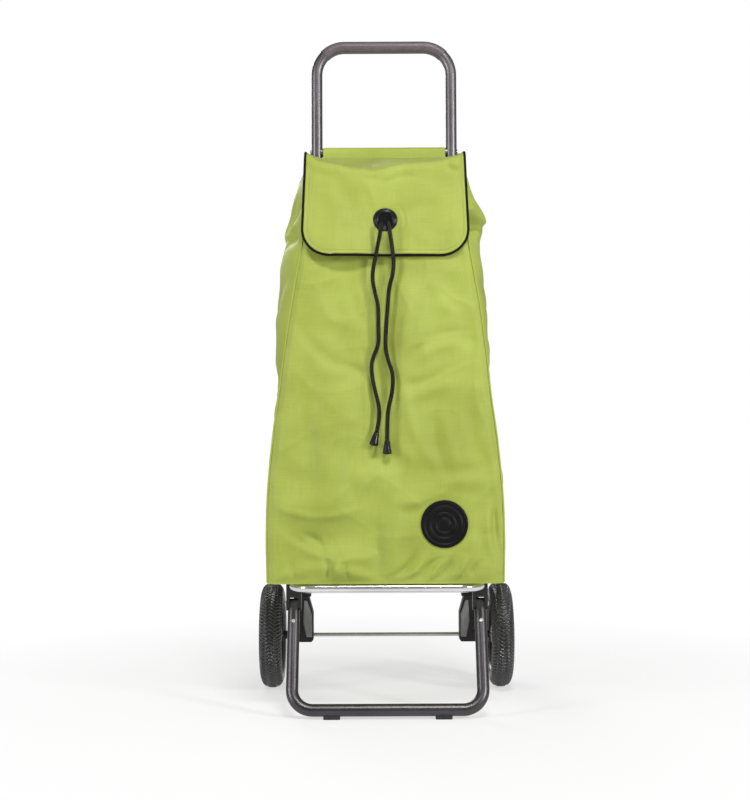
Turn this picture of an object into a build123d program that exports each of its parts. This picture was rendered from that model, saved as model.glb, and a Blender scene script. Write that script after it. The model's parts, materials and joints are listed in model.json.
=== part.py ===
"""Two-wheeled shopping trolley: a folding tube frame that carries a tapered fabric bag.

Frame: +Z up, +X to the right of someone who faces the front of the bag, -Y towards that person.
The origin is on the floor, at the centre of the footprint. All lengths are in millimetres.

Bodies: the back frame with the bag, the bag hoop, the front foot, two wheels, the flap and the
hanging cord ends. The hoop folds up about pins in the knuckles, and the foot folds under the hoop.
"""

import math
import os

from build123d import *

# Overall size
OVERALL_HEIGHT = 1040.0
OVERALL_WIDTH = 396.0
OVERALL_DEPTH = 336.0
CLEAR = 0.05  # radial clearance of a running or assembled fit

# Wheels
WHEEL_RADIUS = 82.5
TYRE_WIDTH = 34.0
TYRE_INNER_RADIUS = 56.0
RIM_WIDTH = 26.0
AXLE_RADIUS = 3.0
AXLE_Y = OVERALL_DEPTH / 2 - WHEEL_RADIUS
AXLE_Z = WHEEL_RADIUS
WHEEL_X = (OVERALL_WIDTH - TYRE_WIDTH) / 2  # centre of each tyre
SPOKES = 6

# Back frame tube
TUBE_RADIUS = 9.0
TUBE_WALL = 1.5
LEAN = 2.6  # degrees that the back frame leans back
GRIP_RADIUS = 9.8
HANDLE_HALF = 108.8  # centre line of a leg, at the handle
SOCKET_HALF = 131.0  # centre line of a leg, where it enters its knuckle
HANDLE_BEND = 45.0
JOGGLE_BEND = 60.0
TUBE_END_Z = 150.0
CROSSBAR_Z = 858.0
CROSSBAR_RADIUS = 7.0

# Hoop under the bag
HOOP_RADIUS = 6.5
HOOP_WALL = 1.2
HOOP_HALF = 138.0
HOOP_Z = 183.0
HOOP_FRONT_Y = -128.5
HOOP_BEND = 34.0
HOOP_PIVOT_Y = 39.5
PIN_RADIUS = 2.5

# Front foot
PAD_HEIGHT = 3.5
FOOT_Y = -OVERALL_DEPTH / 2 + TUBE_RADIUS
FOOT_Z = PAD_HEIGHT + TUBE_RADIUS
FOOT_BEND = 30.0
FOOT_PIVOT_Y = -83.5
FOOT_PIVOT_Z = 155.0
FOOT_TUBE_GAP = 12.0  # from the foot's pivot to the end of its tube
PAD_X = 80.5

# Bag: height, half width and depth of each section
BAG_WALL = 2.4
BAG_BACK_OFFSET = 12.5  # outer back face, in front of the tube's centre line
BAG_BOTTOM_Z = 190.0
BAG_TOP_Z = 826.0
BAG_SECTIONS = [(BAG_BOTTOM_Z, 173.0), (340.0, 172.0), (460.0, 159.0), (740.0, 145.0), (BAG_TOP_Z, 121.0)]
BAG_BOTTOM_DEPTH = 211.0
BAG_TOP_DEPTH = 152.0

# Flap
FLAP_THICK = 2.4
FLAP_GAP = 2.6
FLAP_HALF = 122.0
PIPING = 3.0
FLAP_BOTTOM_Z = 671.0
FLAP_CORNER = 40.0
FLAP_HINGE_Z = 847.0  # the flap is sewn to the hanger strip above the mouth
FLAP_BROW_Z = 831.0  # where the flap turns down over the front
EYELET_Z = 726.0
EYELET_RADIUS = 18.5
EYELET_HOLE = 10.5

# Cords, as hand-chosen routes from the eyelet to just past the flap's edge, and from there to the cord ends
CORD_RADIUS = 2.75
CORD_LEFT_TOP = [(-4.6, -62.6, 723.0), (-5.6, -77.2, 720.5), (-8.0, -78.6, 704.0), (-11.4, -78.8, 688.0),
                 (-14.7, -79.6, 670.3)]
CORD_RIGHT_TOP = [(4.6, -62.6, 723.0), (5.2, -77.2, 720.5), (7.0, -78.6, 704.0), (9.7, -78.8, 688.0),
                  (11.7, -79.6, 670.3)]
CORD_LEFT = [(-16.0, -80.1, 663.7), (-19.8, -82.4, 642.0), (-12.6, -87.2, 600.0), (-12.4, -94.1, 545.0),
             (-20.4, -100.7, 503.0), (-15.6, -106.3, 460.0), (-11.4, -111.1, 428.0), (-14.6, -114.1, 409.0)]
CORD_RIGHT = [(11.5, -80.1, 663.7), (6.6, -82.2, 642.0), (2.2, -87.4, 600.0), (-1.8, -94.7, 541.0),
              (5.8, -101.3, 497.0), (3.6, -107.3, 452.0), (0.4, -112.7, 420.0), (1.2, -115.7, 397.0)]
CORD_END_LENGTH = 19.0

# Badge
BADGE_X = 84.0
BADGE_Z = 276.0
BADGE_RADIUS = 34.0

LOW = (Align.CENTER, Align.CENTER, Align.MIN)
SIN_LEAN = math.sin(math.radians(LEAN))
COS_LEAN = math.cos(math.radians(LEAN))
# Plane of the back frame: x across, y up along the legs, z forwards.
BACK = Plane(origin=(0, AXLE_Y, AXLE_Z), x_dir=(1, 0, 0), z_dir=(0, -COS_LEAN, SIN_LEAN))


def along_leg(z):
    """Distance up the leg, from the axle, of the point at height z."""
    return (z - AXLE_Z) / COS_LEAN


HANDLE_TOP = along_leg(OVERALL_HEIGHT - GRIP_RADIUS)
CROSSBAR_U = along_leg(CROSSBAR_Z)


def bag_back(z):
    """Y of the bag's outer back face at height z."""
    return AXLE_Y + (z - AXLE_Z) * SIN_LEAN / COS_LEAN - BAG_BACK_OFFSET


def bag_depth(z):
    share = (z - BAG_BOTTOM_Z) / (BAG_TOP_Z - BAG_BOTTOM_Z)
    return BAG_BOTTOM_DEPTH + share * (BAG_TOP_DEPTH - BAG_BOTTOM_DEPTH)


def bag_front(z):
    """Y of the bag's outer front face at height z."""
    return bag_back(z) - bag_depth(z)


def front_plane(x, z, out=0.0):
    """Plane on the sloping front face of the bag, moved out along its normal."""
    rise, run = 1.0, bag_front(z + 1) - bag_front(z)
    normal = Vector(0, -rise, run).normalized()
    return Plane(origin=Vector(x, bag_front(z), z) + normal * out, x_dir=(1, 0, 0), z_dir=normal)


def rod_x(radius, x0, x1, y, z):
    """Cylinder along X."""
    plane = Plane(origin=(x0, y, z), x_dir=(0, 1, 0), z_dir=(1, 0, 0))
    return plane * Cylinder(radius, x1 - x0, align=LOW)


def block(x0, x1, y0, y1, z0, z1):
    return Pos(x0, y0, z0) * Box(x1 - x0, y1 - y0, z1 - z0, align=(Align.MIN,) * 3)


def pipe(path, radius, wall=None):
    """Tube along a path: solid, or hollow with the given wall."""
    section = Circle(radius)
    if wall:
        section -= Circle(radius - wall)
    return sweep(Plane(origin=path @ 0, z_dir=path % 0) * section, path=path)


def mirrored(shape):
    return mirror(shape, about=Plane.YZ)


def both_sides(shape):
    return Compound([*shape.solids(), *mirrored(shape).solids()])


def side_profile(points):
    """Face in the YZ plane from (y, z) points."""
    return Plane.YZ * make_face(Polyline(points, close=True))


def slab(points, x0, x1):
    """Side profile extruded from x0 to x1."""
    return Pos(x0, 0, 0) * extrude(side_profile(points), amount=x1 - x0, dir=(1, 0, 0))


# --- back frame -------------------------------------------------------------------------------


def handle_tube():
    foot_u, low_u, high_u = along_leg(TUBE_END_Z), along_leg(250.0), along_leg(340.0)
    right = [(SOCKET_HALF, foot_u), (SOCKET_HALF, low_u), (HANDLE_HALF, high_u), (HANDLE_HALF, HANDLE_TOP)]
    local = right + [(-x, u) for x, u in reversed(right)]
    points = [BACK.from_local_coords((x, u, 0)) for x, u in local]
    bends = [JOGGLE_BEND, JOGGLE_BEND, HANDLE_BEND, HANDLE_BEND, JOGGLE_BEND, JOGGLE_BEND]
    tube = pipe(FilletPolyline(*points, radius=bends), TUBE_RADIUS, TUBE_WALL)
    hole = BACK * Pos(0, CROSSBAR_U, 0) * Rot(0, 90, 0) * Cylinder(2 + CLEAR, 2 * HANDLE_HALF + 40)
    return tube - hole - rod_x(BOLT_RADIUS + CLEAR, -160, 160, BOLT_Y, BOLT_Z)


def handle_grip():
    """Thin soft sleeve over the top bar, ending half way round each corner."""
    cx, cy = HANDLE_HALF - HANDLE_BEND, HANDLE_TOP - HANDLE_BEND
    left = CenterArc((-cx, cy), HANDLE_BEND, 135, -45)
    top = Line((-cx, HANDLE_TOP), (cx, HANDLE_TOP))
    right = CenterArc((cx, cy), HANDLE_BEND, 90, -45)
    return pipe(BACK * Wire([*left.edges(), *top.edges(), *right.edges()]), GRIP_RADIUS,
                GRIP_RADIUS - TUBE_RADIUS - CLEAR)


def crossbar():
    """Tube between the legs, with saddle-cut ends."""
    bar = Rot(0, 90, 0) * (Cylinder(CROSSBAR_RADIUS, 2 * HANDLE_HALF) - Cylinder(CROSSBAR_RADIUS - 1.2, 300))
    for x in (-HANDLE_HALF, HANDLE_HALF):
        bar -= Pos(x, 0, 0) * Rot(90, 0, 0) * Cylinder(TUBE_RADIUS + CLEAR, 60)
    return BACK * Pos(0, CROSSBAR_U, 0) * bar


def crossbar_rivets():
    head_x = HANDLE_HALF + TUBE_RADIUS + 0.1
    shank = rod_x(2.0, HANDLE_HALF - TUBE_RADIUS - 3, head_x + 0.5, 0, 0)
    head = fillet(rod_x(4.5, head_x, head_x + 2, 0, 0).edges().sort_by(Axis.X)[-1], 1.2)
    y, z = AXLE_Y + CROSSBAR_U * SIN_LEAN, CROSSBAR_Z
    return Pos(0, y, z) * both_sides(shank + head)


KNUCKLE_IN, KNUCKLE_OUT = SOCKET_HALF - TUBE_RADIUS - 2.0, 151.0
ARM_IN, ARM_OUT = 116.2, 147.0
ARM_DEPTH = 28.0
SLOT_HALF = HOOP_RADIUS + 0.3
BOLT_Z = 166.0
BOLT_Y = AXLE_Y + (BOLT_Z - AXLE_Z) * SIN_LEAN / COS_LEAN
BOLT_RADIUS = 2.5
PEG_ZS = (94.0, 124.0)
PEG_X = 123.0


def knuckle():
    """Right-hand moulding: socket for the leg, clevis for the hoop's rail, and arm for the axle."""
    rear, ear_front, ear_top = 103.5, HOOP_PIVOT_Y - 14.5, HOOP_Z + 6.6
    body = slab([(ear_front, 168), (ear_front, ear_top - 3), (ear_front + 3, ear_top), (79.4, ear_top),
                 (79.4, 200), (82, 205), (rear - 2, 205), (rear, 200), (rear, 144), (78, 144), (40, 160)],
                KNUCKLE_IN, KNUCKLE_OUT)
    body = fillet(body.edges().filter_by(Axis.Z).group_by(Axis.Y)[-1], 6)
    outline = make_face(Polyline([(ARM_OUT, 148), (124.5, 148), (ARM_IN, 118), (ARM_IN, 76), (ARM_IN + 3, 72.5),
                                  (ARM_OUT - 4, 72.5), (ARM_OUT, 77)], close=True))
    arm = Plane.XZ.offset(-AXLE_Y + ARM_DEPTH / 2) * extrude(outline, amount=-ARM_DEPTH)
    body += chamfer(arm.edges().group_by(Axis.Y)[0], 0.8)
    for z in (84.0, 94.0, 104.0):  # shallow ribs across the front of the arm
        body += block(135, ARM_OUT - 2, AXLE_Y - ARM_DEPTH / 2 - 2, AXLE_Y, z, z + 5)
    leg = BACK * Pos(SOCKET_HALF, along_leg(TUBE_END_Z), 0) * Rot(-90, 0, 0) * Cylinder(
        TUBE_RADIUS + CLEAR, 90, align=LOW)
    body -= leg
    x0, x1 = HOOP_HALF - SLOT_HALF, HOOP_HALF + SLOT_HALF
    body -= block(x0, x1, ear_front - 1, HOOP_PIVOT_Y + 12, HOOP_Z - SLOT_HALF, 200)
    body -= block(x0, x1, HOOP_PIVOT_Y - 9.2, HOOP_PIVOT_Y + 12, HOOP_Z - 11, 200)
    body -= rod_x(PIN_RADIUS + CLEAR, 110, 160, HOOP_PIVOT_Y, HOOP_Z)
    body -= rod_x(AXLE_RADIUS + CLEAR, 110, 160, AXLE_Y, AXLE_Z)
    for z in PEG_ZS:
        body -= peg(z, CLEAR)
    return body - rod_x(BOLT_RADIUS + CLEAR, 110, 160, BOLT_Y, BOLT_Z)


def peg(z, extra=0.0):
    """Clip peg on the back of a knuckle's cover."""
    start = Plane(origin=(PEG_X, AXLE_Y - ARM_DEPTH / 2 - 1, z), z_dir=(0, 1, 0))
    return start * Cylinder(2.2 + extra, 9 + extra, align=LOW)


def knuckle_cover():
    """Right-hand grey leaf-shaped cover, clipped on the front of the knuckle's arm."""
    leaf = make_face(Polyline([(130, 139), (125.6, 139), (118, 117), (118, 81), (127, 81), (132, 106)], close=True))
    plate = Plane.XZ.offset(-AXLE_Y + ARM_DEPTH / 2 + 0.1) * extrude(leaf, amount=3.6)
    plate = chamfer(plate.edges().group_by(Axis.Y)[0], 1.2)
    for z in PEG_ZS:
        plate += peg(z)
    return plate


def leg_bolts():
    """One bolt a side, through the knuckle and the leg in its socket."""
    shank = rod_x(BOLT_RADIUS, KNUCKLE_IN - 3, KNUCKLE_OUT + 0.5, BOLT_Y, BOLT_Z)
    head = rod_x(4.6, KNUCKLE_OUT + 0.1, KNUCKLE_OUT + 2.6, BOLT_Y, BOLT_Z)
    nut = Plane(origin=(KNUCKLE_IN - 4.1, BOLT_Y, BOLT_Z), z_dir=(1, 0, 0)) * extrude(
        RegularPolygon(4.6, 6), amount=4)
    return both_sides(shank + fillet(head.edges().sort_by(Axis.X)[-1], 1.2) + nut)


def pivot_pins():
    """Headed pins that the hoop's rails turn on."""
    shank = rod_x(PIN_RADIUS, KNUCKLE_IN + 6, KNUCKLE_OUT + 0.6, HOOP_PIVOT_Y, HOOP_Z)
    head = rod_x(4.2, KNUCKLE_OUT + 0.1, KNUCKLE_OUT + 2, HOOP_PIVOT_Y, HOOP_Z)
    return both_sides(shank + fillet(head.edges().sort_by(Axis.X)[-1], 0.9))


def axle():
    return rod_x(AXLE_RADIUS, -WHEEL_X - 12, WHEEL_X + 12, AXLE_Y, AXLE_Z)


def axle_spacers():
    ring = rod_x(6.5, ARM_OUT + 0.2, 164.2, AXLE_Y, AXLE_Z)
    return both_sides(ring - rod_x(AXLE_RADIUS + CLEAR, 140, 170, AXLE_Y, AXLE_Z))


def axle_caps():
    """Push-on caps at the axle's ends."""
    cap = rod_x(8.5, WHEEL_X + 10.5, WHEEL_X + 16, AXLE_Y, AXLE_Z)
    cap = fillet(cap.edges().sort_by(Axis.X)[-1], 3)
    return both_sides(cap - rod_x(AXLE_RADIUS + CLEAR, WHEEL_X, WHEEL_X + 12.1, AXLE_Y, AXLE_Z))


# --- wheels -----------------------------------------------------------------------------------


def revolved(points, radius=0.0, rounded=()):
    """Ring about the axle of a right-hand wheel, from (x from the wheel's middle, radius) points."""
    face = make_face(Polyline(points, close=True))
    if radius:
        face = fillet([face.vertices().sort_by_distance((x, r, 0))[0] for x, r in rounded], radius)
    return Pos(WHEEL_X, AXLE_Y, AXLE_Z) * revolve(face, Axis.X)


def tyre():
    half = TYRE_WIDTH / 2
    corners = [(-half, TYRE_INNER_RADIUS), (-half, WHEEL_RADIUS), (half, WHEEL_RADIUS),
               (half, TYRE_INNER_RADIUS)]
    return revolved(corners, 13.0, corners[1:3])


def rim():
    """Moulded rim: outer band, web ring, spokes and hub."""
    half, outer = RIM_WIDTH / 2, TYRE_INNER_RADIUS - 0.1
    body = revolved([(-half, outer - 5), (-half, outer), (half, outer), (half, outer - 5)])
    hub_half = 13.2
    body += revolved([(-hub_half, 5.05), (-hub_half, 13), (10, 13), (10, 5.05)])
    for i in range(SPOKES):
        spoke = Box(15, 9, outer - 13, align=LOW)
        angle = 360 * i / SPOKES
        body += Pos(WHEEL_X, AXLE_Y, AXLE_Z) * Rot(angle, 0, 0) * Pos(0, 0, 10.5) * spoke
    bore = rod_x(5.05, WHEEL_X - 20, WHEEL_X + 20, AXLE_Y, AXLE_Z)
    return body - bore


def bush():
    return revolved([(-13.2, AXLE_RADIUS + CLEAR), (-13.2, 5.0), (10, 5.0), (10, AXLE_RADIUS + CLEAR)])


# --- hoop -------------------------------------------------------------------------------------


HOOP_END_Y = HOOP_PIVOT_Y + 5.0
EYE_HALF = 6.0  # half width of the foot's eye


def support_hoop():
    corners = [(HOOP_HALF, HOOP_END_Y), (HOOP_HALF, HOOP_FRONT_Y)]
    corners += [(-x, y) for x, y in reversed(corners)]
    path = FilletPolyline(*[(x, y, HOOP_Z) for x, y in corners], radius=HOOP_BEND)
    tube = pipe(path, HOOP_RADIUS, HOOP_WALL)
    return tube - rod_x(PIN_RADIUS + CLEAR, -160, 160, HOOP_PIVOT_Y, HOOP_Z)


def hoop_plugs():
    """Caps in the rear ends of the hoop's rails."""
    plane = Plane(origin=(HOOP_HALF, HOOP_END_Y, HOOP_Z), x_dir=(1, 0, 0), z_dir=(0, 1, 0))
    stem = Pos(0, 0, -1.8) * Cylinder(HOOP_RADIUS - HOOP_WALL - CLEAR, 2.6,
                                      align=LOW)
    cap = Pos(0, 0, 0.1) * Cylinder(HOOP_RADIUS, 0.9, align=LOW)
    return both_sides(plane * (stem + cap))


def foot_clamp():
    """Right-hand saddle under the hoop's rail, with two ears for the foot's pin."""
    x0, x1, y, z = HOOP_HALF - 11, HOOP_HALF + 11, FOOT_PIVOT_Y, FOOT_PIVOT_Z
    body = block(x0, x1, y - 10, y + 10, z, HOOP_Z + 3.6) + rod_x(10, x0, x1, y, z)
    rail = Plane(origin=(HOOP_HALF, y - 20, HOOP_Z), z_dir=(0, 1, 0)) * Cylinder(
        HOOP_RADIUS + CLEAR, 40, align=LOW)
    slot = block(HOOP_HALF - EYE_HALF - 0.3, HOOP_HALF + EYE_HALF + 0.3, y - 12, y + 12, z - 12, z + 10.2)
    return body - rail - slot - rod_x(PIN_RADIUS + CLEAR, 120, 160, y, z)


def foot_pins():
    x0, x1 = HOOP_HALF - 10.8, HOOP_HALF + 11.6
    head = rod_x(4.2, HOOP_HALF + 11.1, HOOP_HALF + 13, FOOT_PIVOT_Y, FOOT_PIVOT_Z)
    return both_sides(rod_x(PIN_RADIUS, x0, x1, FOOT_PIVOT_Y, FOOT_PIVOT_Z)
                      + fillet(head.edges().sort_by(Axis.X)[-1], 0.9))


# --- foot -------------------------------------------------------------------------------------


FOOT_PIVOT = Vector(HOOP_HALF, FOOT_PIVOT_Y, FOOT_PIVOT_Z)
LEG_DOWN = (Vector(HOOP_HALF, FOOT_Y, FOOT_Z) - FOOT_PIVOT).normalized()
# Plane at the foot's pivot: z down the leg, x across.
LEG = Plane(origin=FOOT_PIVOT, x_dir=(1, 0, 0), z_dir=LEG_DOWN)
RIVET_DOWN = 30.0


def foot_rivet(extra=0.0):
    """Rivet through the front wall of the leg and into its fitting."""
    hole = Pos(0, 0, RIVET_DOWN) * Rot(-90, 0, 0)
    rivet = hole * Pos(0, 0, 2) * Cylinder(1.6 + extra, TUBE_RADIUS - 1.6, align=LOW)
    if not extra:
        rivet += hole * Pos(0, 0, TUBE_RADIUS + 0.1) * Cylinder(2.7, 0.9, align=LOW)
    return LEG * rivet


def foot_tube():
    top = FOOT_PIVOT + LEG_DOWN * FOOT_TUBE_GAP
    points = [(top.X, top.Y, top.Z), (HOOP_HALF, FOOT_Y, FOOT_Z)]
    points += [(-x, y, z) for x, y, z in reversed(points)]
    tube = pipe(FilletPolyline(*points, radius=FOOT_BEND), TUBE_RADIUS, TUBE_WALL)
    cut = foot_rivet(CLEAR)
    return tube - cut - mirrored(cut)


def foot_fitting():
    """Right-hand end fitting: eye for the pin, collar on the tube's end, and plug inside the tube."""
    eye = rod_x(8, HOOP_HALF - EYE_HALF, HOOP_HALF + EYE_HALF, FOOT_PIVOT_Y, FOOT_PIVOT_Z)
    neck = Pos(0, 0, 2) * Box(2 * EYE_HALF, 13, 8, align=LOW)
    collar = Pos(0, 0, FOOT_TUBE_GAP - 2.6) * Cylinder(TUBE_RADIUS, 2.5, align=LOW)
    collar &= Box(2 * EYE_HALF, 40, 40)
    plug = Pos(0, 0, 8) * Cylinder(TUBE_RADIUS - TUBE_WALL - CLEAR, 34, align=LOW)
    body = eye + LEG * (neck + collar + (plug & Box(2 * EYE_HALF, 40, 200)))
    return body - rod_x(PIN_RADIUS + CLEAR, 120, 160, FOOT_PIVOT_Y, FOOT_PIVOT_Z) - foot_rivet(CLEAR)


def foot_pad():
    """Right-hand rubber pad under the foot's bar."""
    pad = block(PAD_X - 12, PAD_X + 12, FOOT_Y - 7, FOOT_Y + 7, 0, FOOT_Z - 4)
    pad = fillet(pad.edges().filter_by(Axis.Z), 2.5)
    return pad - rod_x(TUBE_RADIUS + CLEAR, PAD_X - 20, PAD_X + 20, FOOT_Y, FOOT_Z)


# --- bag --------------------------------------------------------------------------------------


def bag_section(z, half, inset=0.0):
    """Horizontal rectangle of the bag at height z, drawn in by the inset."""
    y0, y1 = bag_front(z) + inset, bag_back(z) - inset
    x = half - inset
    return make_face(Polyline([(-x, y0, z), (x, y0, z), (x, y1, z), (-x, y1, z)], close=True))


def bag_body():
    """Tapered bag, open at the top."""
    outer = loft([bag_section(z, half) for z, half in BAG_SECTIONS], ruled=True)
    floor_z = BAG_BOTTOM_Z + BAG_WALL
    inner = [(floor_z, BAG_SECTIONS[0][1])] + BAG_SECTIONS[1:]
    cavity = loft([bag_section(z, half, BAG_WALL) for z, half in inner], ruled=True)
    return outer - cavity


def hanger_sleeve():
    """Fabric sleeve round the crossbar, with a strip down to the bag's back."""
    half, tie_u = HANDLE_HALF - TUBE_RADIUS - 1.3, along_leg(800)
    ring = Circle(CROSSBAR_RADIUS + 1.9) - Circle(CROSSBAR_RADIUS + CLEAR)
    front, tie = CROSSBAR_RADIUS + 1.9, BAG_BACK_OFFSET - 0.1
    drop = CROSSBAR_U - tie_u
    strip = make_face(Polyline([(front - 1.6, 0), (front, 0), (tie, drop), (tie - 1.6, drop)], close=True))
    side = Plane(origin=BACK.from_local_coords((-half, CROSSBAR_U, 0)), x_dir=BACK.z_dir, z_dir=(1, 0, 0))
    profile = ring + (strip - Circle(CROSSBAR_RADIUS + CLEAR))
    return extrude(side * profile, amount=2 * half)


def drawstring():
    """Closed cord in the bag's mouth."""
    z, inset = BAG_TOP_Z - 5, BAG_WALL + 4.2
    x = BAG_SECTIONS[-1][1] - inset
    y0, y1 = bag_front(z) + inset, bag_back(z) - inset
    ring = RectangleRounded(2 * x, y1 - y0, 25)
    path = Pos(0, (y0 + y1) / 2, z) * ring.wires()[0]
    return pipe(path, 2.4)


def badge():
    """Plain round badge with a sunk ring."""
    disc = fillet(Cylinder(BADGE_RADIUS, 3, align=LOW).edges().sort_by(Axis.Z)[-1], 1.4)
    ring = Pos(0, 0, 2.3) * (Cylinder(BADGE_RADIUS - 7, 2, align=LOW) - Cylinder(BADGE_RADIUS - 9, 2, align=LOW))
    return front_plane(BADGE_X, BADGE_Z, 0.2) * (disc - ring)


# --- flap and cords ---------------------------------------------------------------------------


FLAP_HINGE_Y = bag_back(FLAP_HINGE_Z) + 1.4


def flap_sheet(extra=0.0):
    """Bent sheet over the mouth and down the front, thickened by extra on each face."""
    t = FLAP_THICK / 2 + extra
    inner = FLAP_GAP - extra
    outer = FLAP_GAP + FLAP_THICK + extra
    low, top, under = FLAP_BOTTOM_Z - 10, FLAP_BROW_Z + t, FLAP_BROW_Z - t
    points = [(FLAP_HINGE_Y, FLAP_HINGE_Z - t), (FLAP_HINGE_Y, FLAP_HINGE_Z + t), (bag_front(top) - outer + 7, top),
              (bag_front(top) - outer + 1.5, top - 2.5), (bag_front(top - 7) - outer, top - 7),
              (bag_front(low) - outer, low), (bag_front(low) - inner, low),
              (bag_front(under - 5) - inner, under - 5), (bag_front(under) - inner + 4, under)]
    return slab(points, -140, 140)


def flap_outline(half, bottom):
    """Front-view outline with rounded lower corners, as a deep block."""
    height = 200
    shape = Pos(0, bottom + height / 2) * Rectangle(2 * half, height)
    shape = fillet(shape.vertices().group_by(Axis.Y)[0], FLAP_CORNER + half - FLAP_HALF)
    return Pos(0, 200, 0) * extrude(Plane.XZ * shape, amount=400)


def eyelet_plane():
    return front_plane(0, EYELET_Z, FLAP_GAP + FLAP_THICK)


def flap_panel():
    panel = flap_sheet() & flap_outline(FLAP_HALF, FLAP_BOTTOM_Z + PIPING)
    return panel - eyelet_plane() * Cylinder(EYELET_HOLE + 1.1, 30)


def flap_piping():
    """Rolled edge round the flap's sides and lower edge."""
    rim_shape = flap_sheet(0.6) & flap_outline(FLAP_HALF + PIPING, FLAP_BOTTOM_Z)
    return rim_shape - flap_outline(FLAP_HALF + CLEAR, FLAP_BOTTOM_Z + PIPING - CLEAR)


def eyelet_front():
    """Ring on the face of the flap, with a neck through it."""
    profile = make_face(Polyline([(EYELET_HOLE, -FLAP_THICK - 1.2), (EYELET_HOLE, 2.6), (EYELET_HOLE + 2.5, 3.4),
                                  (EYELET_RADIUS - 2, 2.8), (EYELET_RADIUS, 0.1), (EYELET_HOLE + 1, 0.1),
                                  (EYELET_HOLE + 1, -FLAP_THICK - 1.2)], close=True))
    ring = revolve(Plane.XZ * profile, Axis.Z)
    return eyelet_plane() * ring


def eyelet_back():
    ring = Cylinder(EYELET_RADIUS - 3, 1.1, align=LOW) - Cylinder(EYELET_HOLE + 1 + CLEAR, 5)
    return eyelet_plane() * Pos(0, 0, -FLAP_THICK - 1.2) * ring


def cord(points):
    """Round cord along straight runs, joined by arcs as large as the runs allow."""
    points = [Vector(*p) for p in points]
    radii = []
    for before, here, after in zip(points, points[1:], points[2:]):
        turn = math.radians((here - before).get_angle(after - here))
        shorter = min((here - before).length, (after - here).length)
        radii.append(0.45 * shorter / math.tan(turn / 2))
    print("cord bend radii", [round(r, 1) for r in radii])
    path = FilletPolyline(*points, radius=radii)
    solid = pipe(path, CORD_RADIUS)
    print("length", round(path.length, 1), "volume share",
          round(solid.volume / (math.pi * CORD_RADIUS**2 * path.length), 4))
    return solid


def cord_end(points):
    """Bell-shaped end piece, below the last point of a cord's route."""
    last, down = Vector(*points[-1]), (Vector(*points[-1]) - Vector(*points[-2])).normalized()
    profile = make_face(Polyline([(0, 0.05), (3.6, 0.05), (4.3, 1.2), (6.4, 15), (6.4, 17.5), (5.2, CORD_END_LENGTH),
                                  (0, CORD_END_LENGTH)], close=True))
    return Plane(origin=last, z_dir=down) * revolve(Plane.XZ * profile, Axis.Z)


NODES = {
    "handle_tube": handle_tube,
    "handle_grip": handle_grip,
    "top_crossbar": crossbar,
    "crossbar_rivets": crossbar_rivets,
    "knuckle_right": knuckle,
    "knuckle_left": lambda: mirrored(knuckle()),
    "knuckle_cover_right": knuckle_cover,
    "knuckle_cover_left": lambda: mirrored(knuckle_cover()),
    "leg_bolts": leg_bolts,
    "hoop_pivot_pins": pivot_pins,
    "axle": axle,
    "axle_spacers": axle_spacers,
    "axle_end_caps": axle_caps,
    "tyre_right": tyre,
    "tyre_left": lambda: mirrored(tyre()),
    "rim_right": rim,
    "rim_left": lambda: mirrored(rim()),
    "hub_bush_right": bush,
    "hub_bush_left": lambda: mirrored(bush()),
    "support_hoop": support_hoop,
    "hoop_end_plugs": hoop_plugs,
    "foot_clamp_right": foot_clamp,
    "foot_clamp_left": lambda: mirrored(foot_clamp()),
    "foot_pivot_pins": foot_pins,
    "foot_tube": foot_tube,
    "foot_fitting_right": foot_fitting,
    "foot_fitting_left": lambda: mirrored(foot_fitting()),
    "foot_rivets": lambda: both_sides(foot_rivet()),
    "foot_pad_right": foot_pad,
    "foot_pad_left": lambda: mirrored(foot_pad()),
    "bag_body": bag_body,
    "hanger_sleeve": hanger_sleeve,
    "drawstring": drawstring,
    "badge": badge,
    "flap_panel": flap_panel,
    "flap_piping": flap_piping,
    "eyelet_front": eyelet_front,
    "eyelet_back": eyelet_back,
    "cord_left_top": lambda: cord(CORD_LEFT_TOP),
    "cord_right_top": lambda: cord(CORD_RIGHT_TOP),
    "cord_left": lambda: cord(CORD_LEFT),
    "cord_right": lambda: cord(CORD_RIGHT),
    "cord_end_left": lambda: cord_end(CORD_LEFT),
    "cord_end_right": lambda: cord_end(CORD_RIGHT),
}

os.makedirs("parts", exist_ok=True)
for node, make in NODES.items():
    export_step(make(), f"parts/{node}.step")
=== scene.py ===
import json
import math
from contextlib import contextmanager

import bmesh
import bpy
import numpy as np
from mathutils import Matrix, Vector


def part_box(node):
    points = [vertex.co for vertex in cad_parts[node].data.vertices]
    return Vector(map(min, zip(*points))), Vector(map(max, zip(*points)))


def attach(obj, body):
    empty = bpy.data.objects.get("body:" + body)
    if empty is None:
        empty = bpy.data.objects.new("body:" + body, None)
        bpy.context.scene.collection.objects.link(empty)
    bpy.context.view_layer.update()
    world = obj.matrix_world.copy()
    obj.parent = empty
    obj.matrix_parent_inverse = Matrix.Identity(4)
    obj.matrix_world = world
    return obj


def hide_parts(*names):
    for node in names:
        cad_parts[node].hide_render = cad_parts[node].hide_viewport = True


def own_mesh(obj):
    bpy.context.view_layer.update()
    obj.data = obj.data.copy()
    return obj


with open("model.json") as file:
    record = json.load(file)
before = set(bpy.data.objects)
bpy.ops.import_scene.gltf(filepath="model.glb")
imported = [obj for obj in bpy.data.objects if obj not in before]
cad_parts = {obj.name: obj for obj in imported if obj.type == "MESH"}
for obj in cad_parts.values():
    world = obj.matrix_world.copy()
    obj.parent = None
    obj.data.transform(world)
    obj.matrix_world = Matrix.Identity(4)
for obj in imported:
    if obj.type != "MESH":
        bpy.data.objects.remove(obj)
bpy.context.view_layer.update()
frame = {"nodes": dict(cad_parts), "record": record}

# ---- driving sizes, in metres, in the frame of the CAD model ----

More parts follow.
